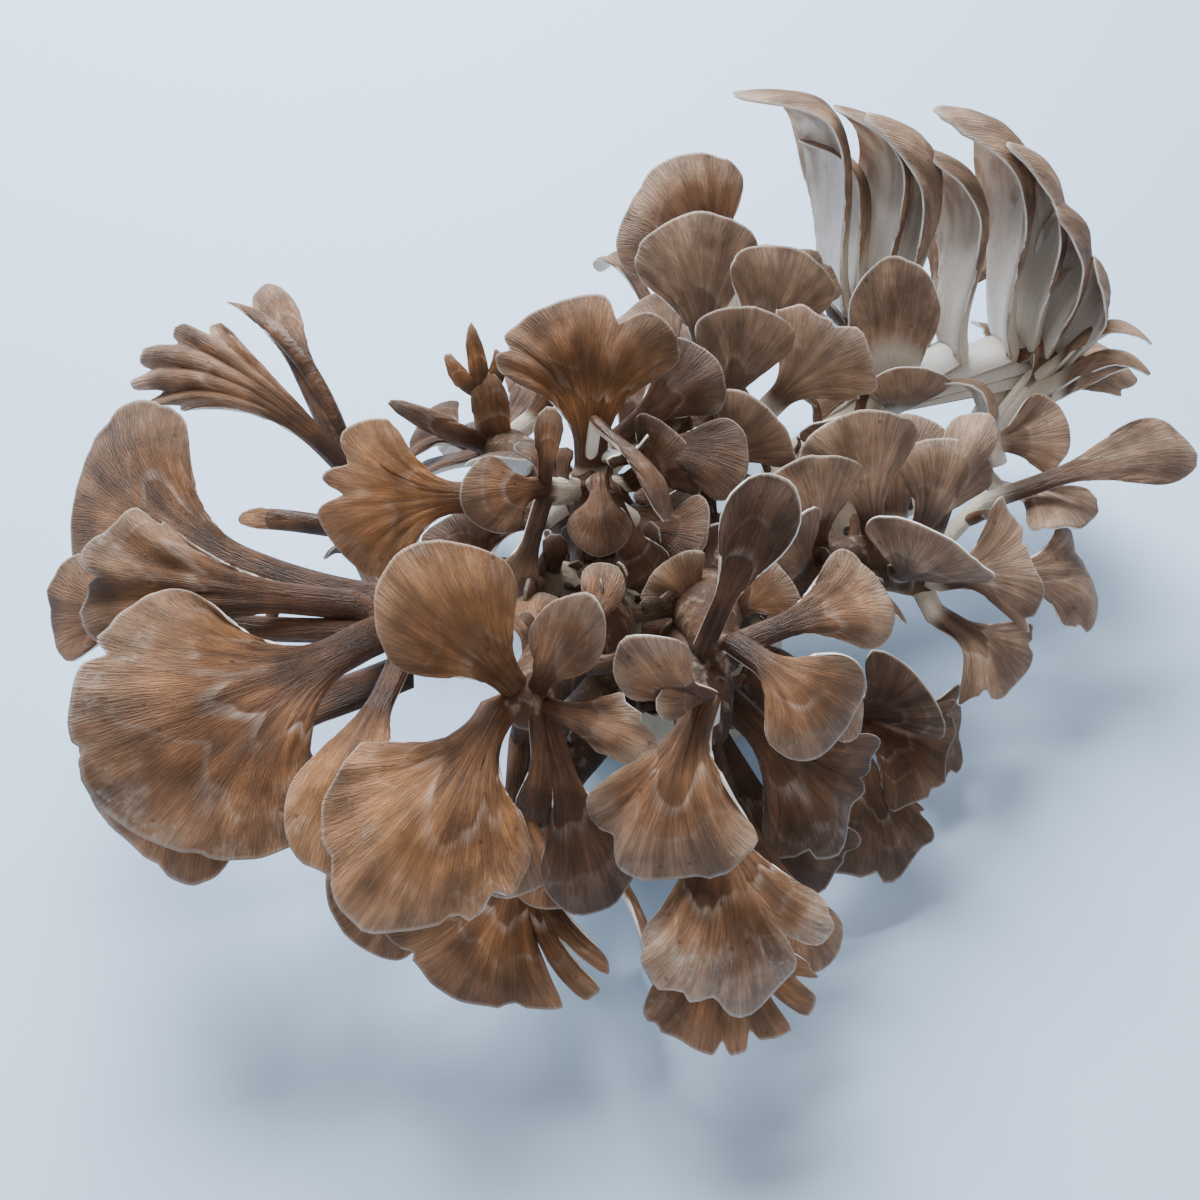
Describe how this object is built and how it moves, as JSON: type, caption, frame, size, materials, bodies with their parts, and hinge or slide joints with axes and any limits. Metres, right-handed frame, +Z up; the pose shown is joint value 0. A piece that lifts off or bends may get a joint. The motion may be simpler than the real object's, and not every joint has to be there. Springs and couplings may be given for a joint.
{
  "type": "maitake mushroom",
  "caption": "Maitake mushroom: a clump of fan-shaped, wavy-edged brown fronds on pale branches that rise from one cut butt, which it stands on.",
  "frame": {"origin": "centre of the butt's flat cut face, on the surface that the mushroom stands on", "axes": "+Z up; +Y away from the picture's camera; +X to the right in the picture, towards the raised arch of fronds' open side"},
  "size_m": [0.2733, 0.2404, 0.1116],
  "materials": {
    "brown_frond": "matte, fine radial fibres, paler rim and white underside",
    "pale_flesh": "matte, soft, fibrous"
  },
  "bodies": {
    "root": {"butt": "pale_flesh", "left_bunch": "brown_frond", "front_bunch": "brown_frond", "front_low_bunch": "brown_frond", "front_right_bunch": "brown_frond", "centre_right_bunch": "brown_frond", "centre_bunch": "brown_frond", "back_left_bunch": "brown_frond", "back_bunch": "brown_frond", "arch_bunch": "brown_frond", "arch_side_bunch": "brown_frond", "right_bunch": "brown_frond", "right_low_bunch": "brown_frond"}
  },
  "joints": []
}
